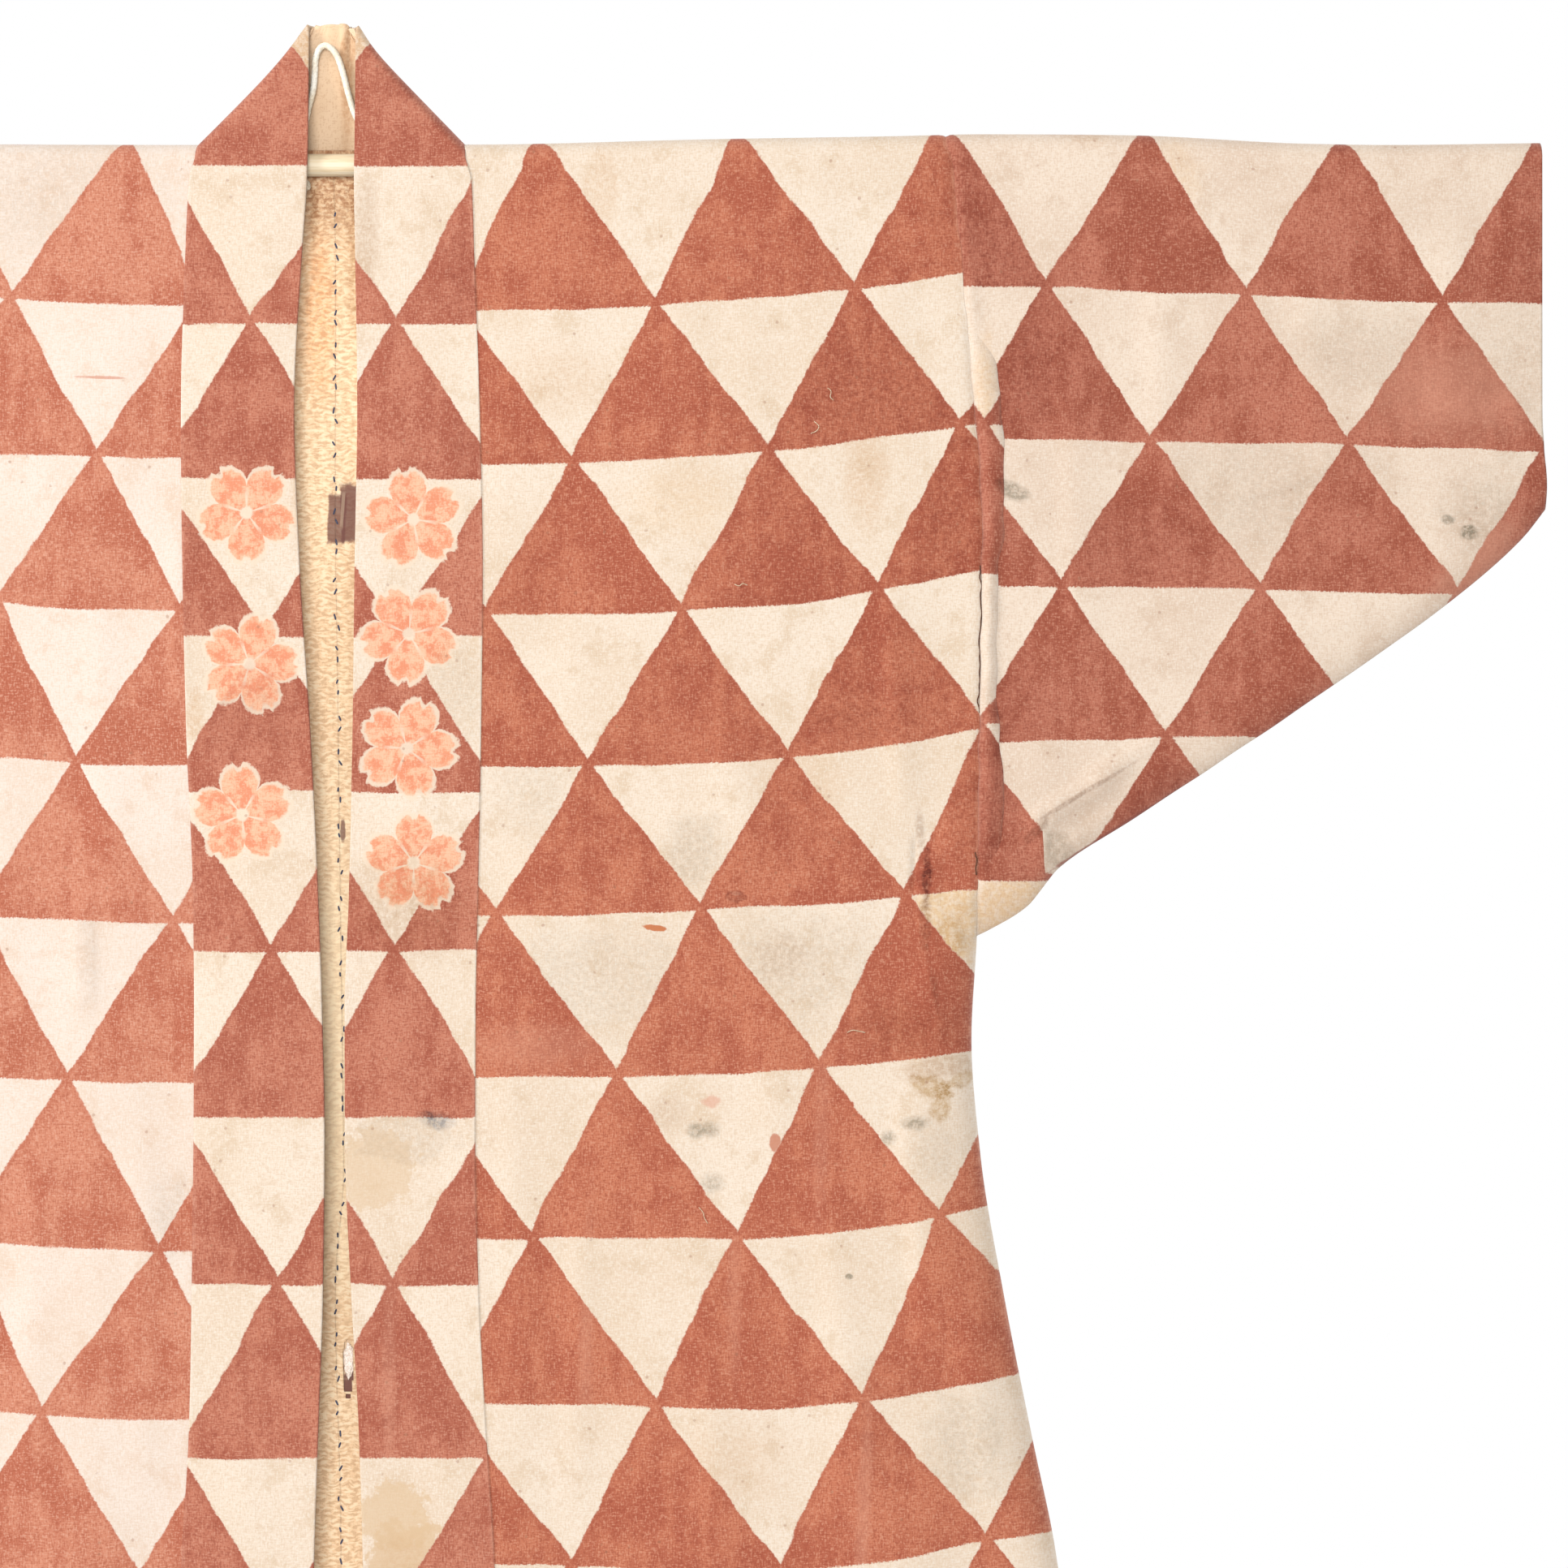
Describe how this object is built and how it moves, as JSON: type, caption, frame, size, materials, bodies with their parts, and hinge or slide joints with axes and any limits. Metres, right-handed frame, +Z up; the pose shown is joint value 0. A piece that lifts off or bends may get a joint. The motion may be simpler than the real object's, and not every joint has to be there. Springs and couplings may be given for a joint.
{
  "type": "happi coat on a hanging rod",
  "caption": "Straight-cut open coat with wide tapered sleeves and a long collar band, in a faded red and cream triangle pattern, hanging on a round wooden rod with a cord loop.",
  "frame": {"origin": "on the axis of the round rod that carries the coat, at the middle of the neck", "axes": "+Z up, +X along the rod towards the right in the front view, the coat's front faces -Y"},
  "size_m": [1.291, 0.0403, 0.9798],
  "materials": {
    "dyed_cloth": "matte, faded resist-dyed plain weave",
    "sleeve_cloth": "matte, faded resist-dyed plain weave",
    "collar_cloth": "matte, faded, folded band",
    "lining_cloth": "matte, crinkled quilting",
    "pale_wood": "smooth, satin",
    "cotton_cord": "matte twist"
  },
  "bodies": {
    "root": {"body_right": "dyed_cloth", "body_left": "dyed_cloth", "sleeve_right": "sleeve_cloth", "sleeve_left": "sleeve_cloth", "tuck_front_right": "sleeve_cloth", "tuck_back_right": "sleeve_cloth", "tuck_front_left": "sleeve_cloth", "tuck_back_left": "sleeve_cloth", "collar": "collar_cloth", "lining_right": "lining_cloth", "lining_left": "lining_cloth", "rod": "pale_wood", "cord": "cotton_cord", "knot_left": "cotton_cord", "knot_right": "cotton_cord"}
  },
  "joints": []
}
